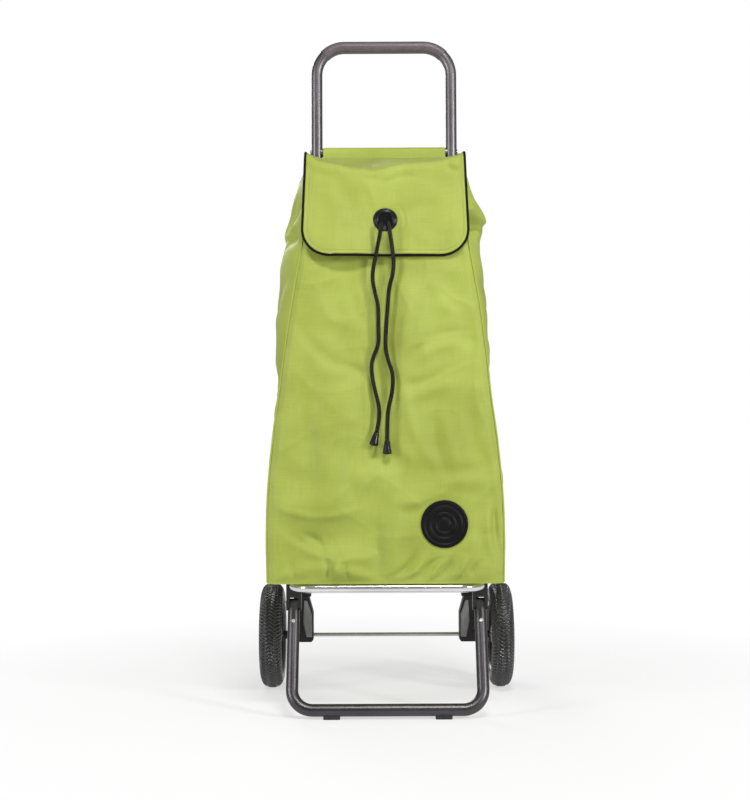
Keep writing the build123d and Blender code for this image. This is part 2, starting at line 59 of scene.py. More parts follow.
LEAN = math.radians(2.6)  # the back frame leans back
NODES = frame["nodes"]
BAG_LO, BAG_HI = (np.array(v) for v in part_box("bag_body"))
HINGES = {j["name"]: np.array(j["pos_m"]) for j in frame["record"]["behaviour"]["joints"]}
FLAP_HINGE = HINGES["flap_open"]
BAG_TOP_DEPTH = 0.152
FABRIC = 0.0008  # thickness of the cloth


def metres(rows):
    """A table in millimetres, in metres."""
    return [tuple(value / 1000 for value in row) for row in rows]


# ---- camera, lights and floor ----

LENS, SENSOR = 66.6, 36.0  # mm
CAMERA_X, CAMERA_HEIGHT = -0.0165, 0.457
CAMERA_TO_AXLE = 2.366
CAMERA_ROLL = 0.25  # degrees
LIGHTS = [  # name, place, aim, size, watts
    ("key_left", (-2.0, -1.2, 1.0), (0, 0, 0.35), (0.5, 1.0), 19),
    ("key_right", (1.9, -1.5, 1.2), (0, 0, 0.35), (0.32, 0.6), 27),
    ("top", (0.25, -1.2, 2.3), (0, 0, 0.4), (0.5, 0.3), 22),
    ("back", (-0.9, 2.2, 1.6), (0, 0, 0.5), (1.2, 1.0), 20),
]
FLOOR_HALF = 6


def add_camera():
    data = bpy.data.cameras.new("camera")
    data.lens, data.sensor_width = LENS, SENSOR
    cam = bpy.data.objects.new("camera", data)
    bpy.context.collection.objects.link(cam)
    axle_y = HINGES["wheel_right_spin"][1]
    cam.location = (CAMERA_X, axle_y - CAMERA_TO_AXLE, CAMERA_HEIGHT)
    cam.rotation_euler = (math.radians(90), math.radians(CAMERA_ROLL), 0)
    bpy.context.scene.camera = cam


def area_light(name, place, aim, size, power):
    data = bpy.data.lights.new(name, "AREA")
    data.shape, data.size, data.size_y = "RECTANGLE", size[0], size[1]
    data.energy = power
    lamp = bpy.data.objects.new(name, data)
    bpy.context.collection.objects.link(lamp)
    lamp.location = place
    lamp.rotation_euler = (Vector(aim) - Vector(place)).to_track_quat("-Z", "Y").to_euler()


def add_world():
    """Soft white surroundings, seen by the camera as a clean white backdrop."""
    world = bpy.data.worlds.new("studio")
    bpy.context.scene.world = world
    world.use_nodes = True
    tree = world.node_tree
    backdrop = tree.nodes["Background"]
    backdrop.inputs["Color"].default_value = (1, 1, 1, 1)
    path, strength = tree.nodes.new("ShaderNodeLightPath"), tree.nodes.new("ShaderNodeMapRange")
    strength.inputs["To Min"].default_value = 0.25
    strength.inputs["To Max"].default_value = 1.0
    tree.links.new(path.outputs["Is Camera Ray"], strength.inputs["Value"])
    tree.links.new(strength.outputs["Result"], backdrop.inputs["Strength"])


def add_studio():
    bpy.context.scene.view_settings.view_transform = "Standard"
    add_world()
    for light in LIGHTS:
        area_light(*light)
    mesh = bpy.data.meshes.new("floor")
    corners = [(x * FLOOR_HALF, y * FLOOR_HALF, 0) for x, y in ((-1, -1), (1, -1), (1, 1), (-1, 1))]
    mesh.from_pydata(corners, [], [(0, 1, 2, 3)])
    floor = bpy.data.objects.new("floor", mesh)
    bpy.context.collection.objects.link(floor)
    mesh.materials.append(floor_material())


def floor_material():
    """Matt white, melting into the white surroundings away from the middle."""
    s = Shader("floor", (0.95, 0.95, 0.95), 0.9)
    away = s.add("VectorMath", {0: s.place()}, out="Value", operation="LENGTH")
    seen = s.span(s.add("LightPath", out="Is Camera Ray"), 0.7, 1.0)
    glow = s.add("Emission", {"Color": (1, 1, 1, 1), "Strength": seen})
    blend = s.add("MixShader", {0: s.span(away, 0.55, 1.0, 0.25, 0.9), 1: s.bsdf.outputs[0], 2: glow})
    s.tree.links.new(blend, s.tree.nodes["Material Output"].inputs["Surface"])
    return s.material


# ---- shader helpers ----


class Shader:
    """A material under construction: nodes are made by add, and joined by passing their sockets."""

    def __init__(self, name, colour, rough, metal=0.0):
        self.material = bpy.data.materials.new(name)
        self.material.use_nodes = True
        self.tree = self.material.node_tree
        self.bsdf = self.tree.nodes["Principled BSDF"]
        self.give("Base Color", (*colour, 1))
        self.give("Roughness", rough)
        self.give("Metallic", metal)

    def give(self, socket, value):
        self.set(self.bsdf, socket, value)

    def set(self, node, socket, value):
        target = node.inputs[socket]
        if isinstance(value, bpy.types.NodeSocket):
            self.tree.links.new(value, target)
        else:
            target.default_value = value

    def add(self, kind, inputs=(), out=0, **settings):
        node = self.tree.nodes.new("ShaderNode" + kind)
        for key, value in settings.items():
            setattr(node, key, value)
        for socket, value in dict(inputs).items():
            self.set(node, socket, value)
        return node.outputs[out]

    def place(self):
        return self.add("TexCoord", out="Object")

    def weave_place(self):
        return self.add("Attribute", out="Vector", attribute_name="weave")

    def scaled(self, vector, scale):
        return self.add("Mapping", {"Vector": vector, "Scale": scale})

    def noise(self, vector, scale, detail=3.0, rough=0.5):
        return self.add("TexNoise", {"Vector": vector, "Scale": scale, "Detail": detail, "Roughness": rough})

    def math(self, kind, a, b=0.0, c=0.0):
        return self.add("Math", {0: a, 1: b, 2: c}, operation=kind)

    def span(self, value, low, high, from_low=0.0, from_high=1.0):
        return self.add("MapRange", {"Value": value, "From Min": from_low, "From Max": from_high,
                                     "To Min": low, "To Max": high})

    def ramp(self, factor, stops):
        node = self.tree.nodes.new("ShaderNodeValToRGB")
        elements = node.color_ramp.elements
        while len(elements) < len(stops):
            elements.new(0.5)
        for element, (place, colour) in zip(elements, stops):
            element.position, element.color = place, (*colour, 1)
        self.set(node, "Fac", factor)
        return node.outputs["Color"]

    def mix(self, factor, a, b):
        node = self.tree.nodes.new("ShaderNodeMix")
        node.data_type = "RGBA"
        self.set(node, 0, factor)
        self.set(node, 6, a)
        self.set(node, 7, b)
        return node.outputs[2]

    def bump(self, height, distance, strength):
        inputs = {"Height": height, "Distance": distance, "Strength": strength}
        self.give("Normal", self.add("Bump", inputs))


def times(colour, factor, lift=0.0):
    return tuple(c * factor + lift for c in colour)


def shaded_and_lit_stops(colour, low, high):
    """A dark, fuller version of a colour for painted shade and a light, paler one for painted light, as the
    two stops of a ramp.
    """
    dark, light = times(colour, low), times(colour, high)
    return [(0.0, (*dark[:2], dark[2] * low)), (1.0, (*light[:2], light[2] * high + 0.008 * (high - 1)))]


def fabric_material(name, colour, pitch=0.0011, sheen=0.04, shine=0.42):
    """Plain-woven polyester: threads both ways, slubs along them, and soft mottling that is painted light and
    shade.
    """
    s = Shader(name, colour, 0.6)
    at = s.weave_place()
    streak_up = s.noise(s.scaled(at, (700, 26, 1)), 1.0, 2.0)
    streak_across = s.noise(s.scaled(at, (26, 700, 1)), 1.0, 2.0)
    streaks = s.math("ADD", streak_up, streak_across)
    # broad soft mottling of painted light and shade: paler patches as if lit, darker, fuller ones as if in
    # shade; it also varies the roughness
    light_and_shade_mottle = s.noise(at, 9.0, 4.0)
    slub_and_light_shade_tone = s.math("ADD", s.math("MULTIPLY", streaks, 0.3), light_and_shade_mottle)
    slub_and_light_shade_tone = s.span(slub_and_light_shade_tone, 0.0, 1.0, 0.55, 1.15)
    wave = {"Vector": at, "Scale": 1 / pitch / 3.1, "Distortion": 0.25, "Detail": 1.0}
    warp, weft = (s.add("TexWave", wave, out="Fac", bands_direction=way) for way in "XY")
    threads = s.math("MULTIPLY", warp, weft)
    # the mottle's ramp runs from painted shade to painted light, with the slubs mixed in
    s.give("Base Color", s.mix(s.span(threads, 0.0, 0.12), s.ramp(slub_and_light_shade_tone, shaded_and_lit_stops(colour, 0.82, 1.16)),
                                      (*times(colour, 0.7), 1)))
    s.give("Roughness", s.span(light_and_shade_mottle, 0.42, 0.58))
    s.give("Sheen Weight", sheen)
    s.give("Sheen Roughness", 0.45)
    s.give("Specular IOR Level", shine)
    height = s.math("ADD", s.math("MULTIPLY", threads, 0.8), s.math("MULTIPLY", streaks, 0.5))
    s.bump(height, 0.00035, 0.5)
    return s.material


def braid_material(name, colour):
    s = Shader(name, colour, 0.45)
    fuzz = s.noise(s.place(), 2200.0, 3.0)
    s.give("Base Color", s.ramp(fuzz, [(0.35, times(colour, 0.5)), (0.75, times(colour, 1.8))]))
    s.give("Specular IOR Level", 0.34)
    s.give("Roughness", s.span(fuzz, 0.2, 0.36))
    s.bump(fuzz, 0.0002, 0.5)
    return s.material


def tube_material(name, colour, rough, scratch=0.03):
    """Satin anodised tube: drawn lines along it, faint blotches, and rubbed brighter patches."""
    s = Shader(name, colour, rough, 1.0)
    at = s.place()
    fine = s.noise(s.scaled(at, (900, 900, 40)), 1.0, 2.0)
    blotch = s.noise(at, 14.0, 5.0, 0.6)
    s.give("Base Color", s.ramp(blotch, [(0.3, times(colour, 0.88)),
                                                (0.7, tuple(min(1, c) for c in times(colour, 1.12)))]))
    s.give("Roughness", s.span(s.math("ADD", fine, blotch), rough - 0.04, rough + 0.05, 0.7, 1.3))
    s.bump(fine, scratch * 0.001, 0.012)
    return s.material


def plastic_material(name, colour, rough, grain=900.0, depth=0.00012, shine=0.35):
    """Moulded plastic with a spark-eroded grain and slightly polished high spots."""
    s = Shader(name, colour, rough)
    at = s.place()
    pits = s.noise(at, grain, 2.0)
    wear = s.noise(at, 22.0, 6.0, 0.65)
    s.give("Base Color", s.ramp(wear, [(0.35, colour), (0.8, times(colour, 1.4, 0.003))]))
    s.give("Roughness", s.span(wear, rough - 0.08, rough + 0.1, 0.3, 0.7))
    s.give("Specular IOR Level", shine)
    s.bump(pits, depth, 0.35)
    return s.material


def rubber_material(name, colour, rough=0.6, pitted=0.3, shine=0.45):
    s = Shader(name, colour, rough)
    at = s.place()
    dust = s.noise(at, 60.0, 6.0, 0.7)
    pores = s.add("TexVoronoi", {"Vector": at, "Scale": 1400.0}, out="Distance")
    s.give("Base Color", s.ramp(dust, [(0.4, colour), (0.85, times(colour, 1.3, 0.02))]))
    s.give("Roughness", s.span(dust, rough - 0.08, rough + 0.16, 0.3, 0.7))
    s.give("Specular IOR Level", shine)
    s.bump(pores, 0.00012, pitted)
    return s.material


LIME = (0.395, 0.465, 0.07)
MATERIALS = {
    "bag_fabric": fabric_material("lime_polyester", LIME),
    "piping": fabric_material("black_binding", (0.005, 0.005, 0.0045), 0.0009, 0.0, 0.12),
    "cord": braid_material("black_braid", (0.0045, 0.0045, 0.0042)),
    "thread": Shader("lime_thread", (0.4, 0.46, 0.1), 0.5).material,
    "frame_tube": tube_material("graphite_tube", (0.19, 0.175, 0.185), 0.4),
    "foot_fitting": plastic_material("graphite_nylon", (0.055, 0.053, 0.055), 0.38),
    "foot_tube": tube_material("graphite_foot_tube", (0.105, 0.1, 0.105), 0.36),
    "bright_tube": tube_material("polished_tube", (0.9, 0.9, 0.91), 0.16),
    "steel": tube_material("zinc_steel", (0.55, 0.54, 0.55), 0.33),
    "soft_grip": rubber_material("grip_sleeve", (0.1, 0.077, 0.085), 0.42, 0.08, 0.6),
    "black_plastic": plastic_material("black_nylon", (0.022, 0.022, 0.024), 0.42),
    "grey_plastic": plastic_material("grey_cover", (0.26, 0.255, 0.265), 0.4),
    "tyre": rubber_material("tyre_foam", (0.034, 0.032, 0.034), 0.24, 0.12, 0.75),
    "rim_plastic": plastic_material("rim_nylon", (0.025, 0.025, 0.027), 0.38),
    "bush_plastic": plastic_material("acetal", (0.72, 0.71, 0.66), 0.35),
    "trim_plastic": plastic_material("gloss_trim", (0.006, 0.006, 0.008), 0.25, 500.0, 0.00004, 0.4),
    "badge_plastic": plastic_material("badge_black", (0.005, 0.0045, 0.005), 0.45, 700.0, 0.00008, 0.14),
    "pad_rubber": rubber_material("pad_rubber", (0.02, 0.02, 0.02)),
}
# CAD nodes that are darker in the photo than the rest of their slot
DARKER = {"foot_tube": "foot_tube", "foot_fitting_right": "foot_fitting", "foot_fitting_left": "foot_fitting"}


def paint_cad_nodes():
    """Gives every CAD node that stays the material of its slot."""
    for entry in frame["record"]["subparts"]:
        data = NODES[entry["node"]].data
        data.materials.clear()
        data.materials.append(MATERIALS[DARKER.get(entry["node"], entry["material_slot"])])


# ---- mesh helpers ----

SHARP_ANGLE = 1.1  # radians


def add_mesh(name, points, faces, slot, body, weave=None, smooth=True):
    mesh = bpy.data.meshes.new(name)
    mesh.from_pydata([tuple(p) for p in points], [], [tuple(f) for f in faces])
    mesh.polygons.foreach_set("use_smooth", [smooth] * len(mesh.polygons))
    if weave is not None:
        attribute = mesh.attributes.new("weave", "FLOAT_VECTOR", "POINT")
        attribute.data.foreach_set("vector", np.column_stack([weave, np.zeros(len(weave))]).ravel())
    mesh.materials.append(MATERIALS[slot])
    piece = bpy.data.objects.new(name, mesh)
    bpy.context.collection.objects.link(piece)
    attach(piece, body)
    return piece


def grid_faces(rows, cols, wrap_cols=False, wrap_rows=False, start=0):
    """Quads of a rows x cols grid of points, listed row by row."""
    faces = []
    for r in range(rows if wrap_rows else rows - 1):
        for c in range(cols if wrap_cols else cols - 1):
            a, b = start + r * cols, start + (r + 1) % rows * cols
            d = (c + 1) % cols
            faces.append((a + c, a + d, b + d, b + c))
    return faces


@contextmanager
def opened(piece):
    """A piece's mesh, open for editing."""
    work = bmesh.new()
    work.from_mesh(piece.data)
    yield work
    work.to_mesh(piece.data)
    work.free()


def thicken(piece, thickness):
    """Gives a sheet its thickness, on its inner side, with crisp cut edges and no loose points."""
    with opened(piece) as work:
        bmesh.ops.delete(work, geom=[v for v in work.verts if not v.link_faces], context="VERTS")
    solid = piece.modifiers.new("thickness", "SOLIDIFY")
    solid.thickness, solid.offset, solid.use_even_offset = thickness, -1.0, False
    apply_modifiers(piece)
    with opened(piece) as work:
        for edge in work.edges:
            edge.smooth = len(edge.link_faces) < 2 or edge.calc_face_angle() < SHARP_ANGLE


def apply_modifiers(piece):
    graph = bpy.context.evaluated_depsgraph_get()
    mesh = bpy.data.meshes.new_from_object(piece.evaluated_get(graph), depsgraph=graph)
    piece.modifiers.clear()
    piece.data = mesh


def weld(piece):
    with opened(piece) as work:
        bmesh.ops.remove_doubles(work, verts=work.verts, dist=1e-5)
        bmesh.ops.recalc_face_normals(work, faces=work.faces)


def distances(path):
    """Distance along a path at each of its points."""
    return np.concatenate([[0], np.cumsum(np.linalg.norm(np.diff(path, axis=0), axis=1))])


def turns(count):
    """Angles that divide a full turn."""
    return np.arange(count) * 2 * math.pi / count


def unit(vectors):
    return vectors / np.linalg.norm(vectors, axis=-1, keepdims=True)


def frames_along(path):
    """Tangents and two normals at each point of a path, turning as little as possible."""
    tangents = unit(np.gradient(path, axis=0))
    normal = np.cross(tangents[0], (0.3, 0.9, 0.2))
    normals = []
    for tangent in tangents:
        normal = unit(normal - tangent * normal.dot(tangent))
        normals.append(normal)
    normals = np.array(normals)
    return tangents, normals, np.cross(tangents, normals)


def tube_mesh(path, radius, sides=12, relief=None, closed=False):
    """Points and faces of a tube. relief(turn, distance) adds to the radius. Ends are domed."""
    path = np.asarray(path, float)
    tangents, normals, binormals = frames_along(path)
    turn = turns(sides)
    radii = np.full((len(path), sides), radius)
    if relief:
        radii = radii + relief(turn[None, :], distances(path)[:, None])
    around = normals[:, None] * np.cos(turn)[None, :, None] + binormals[:, None] * np.sin(turn)[None, :, None]
    rings = path[:, None] + around * radii[..., None]
    if closed:
        return rings.reshape(-1, 3), grid_faces(len(path), sides, True, True)
    dome = [(0.35, 0.94), (0.7, 0.72), (0.94, 0.35)]
    first = [path[0] - tangents[0] * radius * up + around[0] * radius * out for up, out in reversed(dome)]
    last = [path[-1] + tangents[-1] * radius * up + around[-1] * radius * out for up, out in dome]
    rings = np.concatenate([first, rings, last])
    points = rings.reshape(-1, 3)
    count = len(rings)
    faces = grid_faces(count, sides, True)
    points = np.concatenate([points, [path[0] - tangents[0] * radius, path[-1] + tangents[-1] * radius]])
    tip, end = len(points) - 2, len(points) - 1
    faces += [(tip, (c + 1) % sides, c) for c in range(sides)]
    low = (count - 1) * sides
    faces += [(end, low + c, low + (c + 1) % sides) for c in range(sides)]
    return points, faces


def smoothstep(x, low, high):
    t = np.clip((x - low) / (high - low), 0, 1)
    return t * t * (3 - 2 * t)


def bell(x, middle, width):
    return np.exp(-(((x - middle) / width) ** 2))


def smooth_curve(x, knots, passes=2.0):
    """Values at x of a smooth line near the (place, value) knots."""
    places, values = zip(*knots)
    offsets = np.linspace(-1, 1, 9)
    span = 0.012 * passes
    weights = np.exp(-2 * offsets**2)
    samples = [np.interp(x + o * span, places, values) * w for o, w in zip(offsets, weights)]
    return sum(samples) / weights.sum()


def ripples(x, z, seed, length, amount, count=7):
    """Smooth random undulation with about that wavelength."""
    rng = np.random.default_rng(seed)
    total = 0.0
    for _ in range(count):
        angle, phase = rng.uniform(0, math.pi), rng.uniform(0, 2 * math.pi)
        k = 2 * math.pi / (length * rng.uniform(0.7, 1.5))
        total = total + np.sin(k * (x * math.cos(angle) + z * math.sin(angle)) + phase)
    return amount * total / math.sqrt(count)


def ridged(x, z, seed, length, amount):
    """Random winding creases: crisp crests with soft hollows between them."""
    return amount * np.exp(-np.abs(ripples(x, z, seed, length, 1.0)) / 0.35)


def crease(x, z, folds):
    """Ridges and valleys along short lines: (x0, z0, x1, z1, half width, height), tapering at the ends."""
    total = np.zeros(np.broadcast(x, z).shape)
    for x0, z0, x1, z1, width, height in folds:
        dx, dz = x1 - x0, z1 - z0
        long2 = dx * dx + dz * dz
        t = ((x - x0) * dx + (z - z0) * dz) / long2
        bend = 0.12 * math.sin(97 * x0 + 61 * z0) * math.sqrt(long2)
        off = ((x - x0) * dz - (z - z0) * dx) / math.sqrt(long2) + bend * (2 * t - 1) ** 2
        inside = smoothstep(t, -0.35, 0.4) * (1 - smoothstep(t, 0.6, 1.35))
        total = total + height * inside * bell(off, 0, width)
    return total


# ---- cords ----

CORD_DIAMETER = 0.0055
CORDS = {
    "cord_left_top": [(-0.0046, -0.0626, 0.723), (-0.0056, -0.0772, 0.7205), (-0.008, -0.0786, 0.704),
                      (-0.0114, -0.0788, 0.688), (-0.015, -0.0799, 0.667)],
    "cord_right_top": [(0.0046, -0.0626, 0.723), (0.0052, -0.0772, 0.7205), (0.007, -0.0786, 0.704),
                       (0.0097, -0.0788, 0.688), (0.0118, -0.0799, 0.667)],
    "cord_left": [(-0.0152, -0.08, 0.667), (-0.0206, -0.0818, 0.646), (-0.017, -0.084, 0.62),
                  (-0.0106, -0.0872, 0.596), (-0.0112, -0.0914, 0.566), (-0.0102, -0.0948, 0.54),
                  (-0.0206, -0.098, 0.517), (-0.0218, -0.1004, 0.499), (-0.0168, -0.104, 0.472),
                  (-0.0104, -0.1078, 0.448), (-0.01, -0.111, 0.428), (-0.0146, -0.1141, 0.409)],
    "cord_right": [(0.0119, -0.08, 0.667), (0.0128, -0.0818, 0.65), (0.005, -0.084, 0.625),
                   (0.0032, -0.0872, 0.598), (0.0, -0.0918, 0.562), (-0.001, -0.0956, 0.533),
                   (0.0036, -0.0984, 0.514), (0.0104, -0.101, 0.495), (0.0094, -0.1046, 0.469),
                   (0.0026, -0.1084, 0.444), (0.0014, -0.112, 0.422), (0.0012, -0.1157, 0.397)],
}
CORD_STEP = 0.0004
STRANDS = 6
BRAID_PITCH = 3.2  # one period of the braid along the cord, in cord radii
BRAID_HEIGHT, BRAID_SINK = 0.36, 0.2  # share of the radius


def spline_points(name, points):
    """Points read along the smooth NURBS curve that has those control points."""
    curve = bpy.data.curves.new(name + "_route", "CURVE")
    curve.dimensions = "3D"
    spline = curve.splines.new("NURBS")
    spline.points.add(len(points) - 1)
    for target, place in zip(spline.points, points):
        target.co = (*place, 1)
    spline.order_u = 3
    spline.use_endpoint_u = True
    spline.resolution_u = 48
    holder = bpy.data.objects.new(name + "_route", curve)
    line = bpy.data.meshes.new_from_object(holder)
    path = np.array([v.co[:] for v in line.vertices])
    bpy.data.objects.remove(holder)
    return path


def resampled(path, step):
    """The same line with points evenly spaced."""
    distance = distances(path)
    count = max(2, int(round(distance[-1] / step)) + 1)
    even = np.linspace(0, distance[-1], count)
    return np.column_stack([np.interp(even, distance, path[:, i]) for i in range(3)]), distance[-1]


def braid_relief(radius):
    """Height of a round braid: strands that cross over and under along two helices."""
    pitch = radius * BRAID_PITCH

    def relief(turn, distance):
        along = 2 * math.pi * distance / pitch
        right = np.cos((STRANDS / 2) * turn + along * 2)
        left = np.cos((STRANDS / 2) * turn - along * 2)
        return radius * (BRAID_HEIGHT * np.maximum(right, left) - BRAID_SINK)

    return relief


def add_cord(name, body):
    path, length = resampled(spline_points(name, CORDS[name]), CORD_STEP)
    radius = CORD_DIAMETER / 2
    points, faces = tube_mesh(path, radius, 24, braid_relief(radius))
    cord = add_mesh("braid_" + name, points, faces, "cord", body)
    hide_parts(name)


def lathe(profile, place, axis, side, sides=40):
    """Points and faces of a closed turned shape: profile is (distance along the axis, radius)."""
    axis, side = unit(np.array(axis, float)), np.array(side, float)
    side = unit(side - axis * side.dot(axis))
    across = np.cross(axis, side)
    points = [np.array(place) + axis * along + radius * (side * math.cos(t) + across * math.sin(t))
              for along, radius in profile for t in turns(sides)]
    is_ring = min(radius for _, radius in profile) > 0
    faces = [tuple(reversed(f)) for f in grid_faces(len(profile), sides, True, is_ring)]
    return points, faces


def add_cord_end(side, cord):
    """Bell-shaped end with a collar, a rib and the hole that the cord goes into."""
    a, b = (np.array(p) for p in CORDS[cord][-2:])
    profile = metres([
        (1.2, 0), (1.2, 2.4), (-0.2, 3), (-0.4, 3.6), (0.6, 4), (1.8, 4), (2.4, 4.3), (7, 5), (12, 5.8),
        (15, 6.3), (16, 6.6), (17.6, 6.6), (18.6, 6.1), (19.2, 5), (19, 4.2), (17.8, 3.6), (17.6, 0),
    ])
    points, faces = lathe(profile, b, b - a, (1, 0, 0))
    cap = add_mesh(f"cord_cap_{side}", points, faces, "trim_plastic", "cords")
    weld(cap)
    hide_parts(f"cord_end_{side}")
    return cap


def add_cords():
    for side in ("left", "right"):
        cap = add_cord_end(side, f"cord_{side}")
        add_cord(f"cord_{side}_top", "flap")
        add_cord(f"cord_{side}", "cords")


# ---- bag ----

MOUTH_Z, BASE_Z = BAG_HI[2], BAG_LO[2]
BADGE_X, BADGE_Z, BADGE_RADIUS = 0.084, 0.276, 0.0345
# Height of the fold where the flap turns down over the front, from its left edge to its right
BROW = metres([
    (-120, 830), (-111, 827), (-100, 820), (-70, 812), (-44, 807), (-20, 804), (0, 807), (30, 814),
    (60, 816), (85, 819), (106, 825), (120, 831),
])
HEM_DROP, BACK_RISE = 0.011, 0.013
CORNER_SET = 0.0045  # how far the front seams lie behind the front panel
GATHERS, GATHER_DEPTH = 44, 0.0022
FRONT_HALF = metres([
    (190, 171.5), (250, 173.5), (300, 173), (340, 171), (413, 164), (460, 157), (515, 151.5), (600, 140.5),
    (696, 124), (760, 119), (826, 113),
])
SIDE_LEFT = metres([
    (190, 171.5), (250, 174), (340, 173.5), (400, 167), (457, 160.5), (500, 162.5), (530, 166), (580, 168),
    (606, 165), (640, 162), (667, 160), (700, 152), (730, 142), (760, 137), (791, 132), (812, 122),
    (826, 113),
])
SIDE_RIGHT = metres([
    (190, 171), (250, 174), (340, 173.5), (400, 168), (457, 158), (500, 156), (540, 158), (580, 157),
    (606, 154), (640, 151), (667, 147), (700, 146.5), (730, 144), (760, 140.5), (791, 129), (812, 118),
    (826, 113),
])
# The lower part hangs a little to the left
DRIFT = [(0.19, -0.0022), (0.45, -0.0022), (0.6, 0.0)]
BACK_HALF = metres([
    (190, 169), (340, 164), (500, 150), (700, 134), (780, 124), (826, 113),
])
# Folds of the front panel, seen from the front: x0, z0, x1, z1, half width, height
FRONT_FOLDS = metres([
    # broad facets: the upper panel is crowned along the cords, the lower one sags over the platform's edge
    (20, 680, 24, 500, 34, 4.2), (-78, 660, -70, 520, 26, -3.4), (-105, 500, -50, 498, 12, 2.2),
    (-60, 480, -80, 350, 30, 3), (118, 620, 128, 500, 22, -2.2), (-150, 312, -30, 306, 20, 2.2),
    (-155, 258, -30, 246, 21, -3.6), (-150, 216, -20, 210, 9, 2.2), (10, 300, 6, 205, 14, 3),
    (40, 262, 36, 210, 16, -2),
    # creases
    (22, 610, 20, 400, 11, 2.6), (-30, 520, -22, 400, 10, 2.4), (-38, 520, -36, 410, 6, -1.8),
    (-70, 512, -12, 492, 8, -2), (30, 474, 90, 496, 9, -1.8), (36, 458, 92, 480, 9, 1.2),
    (40, 534, 110, 566, 10, -1.6), (40, 516, 100, 546, 9, 1.2), (66, 450, 80, 350, 10, -1.8),
    (84, 440, 98, 350, 12, 1.3), (120, 470, 128, 380, 12, -1.4), (50, 346, 162, 356, 10, -1.2),
    (40, 332, 160, 340, 12, 1.2), (18, 302, 62, 314, 9, 1.4), (24, 290, 62, 298, 8, -1.1),
    (158, 312, 164, 226, 7, -7), (146, 300, 150, 230, 8, 2.4), (-160, 290, -50, 284, 6, 1.4),
    (-140, 238, -30, 218, 7, 1.8), (-112, 262, -90, 238, 6, -2.2), (-14, 280, -12, 200, 7, -2),
    (-100, 480, -90, 330, 12, 1.2), (-120, 450, -106, 310, 12, -1.4), (-44, 400, -60, 320, 10, -1.6),
    (0, 390, -20, 330, 10, 2.2), (26, 380, 16, 320, 9, -1.8), (12, 398, 50, 350, 10, 0.8),
    (-130, 560, -80, 510, 10, -1.6), (-110, 600, -50, 560, 12, 1.4), (-56, 640, -34, 560, 10, -1.4),
    (60, 640, 96, 580, 12, 1.4),
    # gathers of the bottom seam
    (-140, 222, -136, 196, 5, -1.4), (-86, 226, -82, 196, 5, -2.6), (-74, 224, -72, 196, 5, 2.2),
    (-60, 220, -58, 196, 4, -1.8), (16, 200, 44, 228, 5, -2.6), (30, 198, 58, 228, 5, 2.6),
    (46, 198, 70, 226, 4, -2.4), (62, 198, 80, 224, 4, 2), (80, 198, 98, 226, 4, -2.2),
    (100, 198, 116, 224, 4, 2.2), (122, 200, 132, 222, 4, -1.8),
])
GUSSET_FOLDS = metres([
    (20, 760, 70, 680, 7, -6), (40, 765, 95, 700, 8, 5), (20, 640, 110, 560, 12, -5),
    (50, 560, 60, 420, 12, -4.5), (100, 620, 110, 400, 14, 4), (30, 500, 150, 440, 10, 3.5),
    (70, 360, 90, 230, 16, -5), (130, 380, 140, 220, 14, 4), (20, 300, 60, 210, 10, -3.5),
    (140, 700, 120, 600, 10, -4),
])


def bag_back(z):
    """Y of the bag's flat back at height z, just in front of the legs."""
    return BAG_HI[1] - (BAG_HI[2] - z) * math.tan(LEAN)


def bag_front(z):
    share = (z - BASE_Z) / (MOUTH_Z - BASE_Z)
    low_depth = bag_back(BASE_Z) - BAG_LO[1]
    return bag_back(z) - low_depth - share * (BAG_TOP_DEPTH - low_depth)


def rim_rise(x, depth_share):
    """How far the mouth's rim is above its mean height: it is low in front, under the flap's sagging fold."""
    front = np.interp(x, *zip(*BROW)) - HEM_DROP - MOUTH_Z
    return front * (1 - depth_share) + BACK_RISE * depth_share


def lifted(x, y, z):
    """The upper part of the bag stretched up or down to meet the rim."""
    depth = bag_back(z) - bag_front(z)
    share = np.clip((y - bag_front(z)) / depth, 0, 1)
    return z + rim_rise(x, share) * smoothstep(z, 0.7, MOUTH_Z)


def drift(z):
    return smooth_curve(z, DRIFT, 4.0)


def front_relief(x, z, s):
    """How far the front panel stands out from its plane: belly, folds and small undulations."""
    belly = 0.0045 * smoothstep(z, 0.19, 0.26) * (1 - smoothstep(z, 0.54, 0.7))
    calm = smoothstep(z, 0.19, 0.204) * (1 - smoothstep(z, 0.665, 0.72))
    edge = 1 - smoothstep(np.abs(s), 0.86, 1.0)
    from_badge = np.hypot(x - BADGE_X, z - BADGE_Z)
    free = smoothstep(from_badge, BADGE_RADIUS - 0.003, BADGE_RADIUS + 0.012)
    folds = 2.1 * crease(x, z, FRONT_FOLDS) + ripples(x, z, 3, 0.15, 0.0022) + ripples(x, z, 13, 0.07, 0.0012)
    folds = folds + ridged(x, z, 17, 0.24, 0.0028) + ridged(x, z, 19, 0.11, 0.0013)
    fine = ripples(x, z, 8, 0.035, 0.0003)
    window = smoothstep(z, 0.345, 0.375) * (1 - smoothstep(z, 0.66, 0.7))
    behind_cords = window * np.exp(-((np.abs(x + 0.004) / 0.026) ** 3))
    folds = folds * (1 - 0.8 * behind_cords)
    return belly * (1 - s * s) + calm * free * (edge * folds + fine) - 0.0036 * behind_cords


def front_point(s, z):
    """Point of the front panel: s runs from -1 at its left seam to 1 at its right seam."""
    x = s * smooth_curve(z, FRONT_HALF) + drift(z)
    corner = CORNER_SET * smoothstep(np.abs(s), 0.93, 1.0)
    y = bag_front(z) - front_relief(x, z, s) + corner
    return np.stack(np.broadcast_arrays(x, y, z), -1)


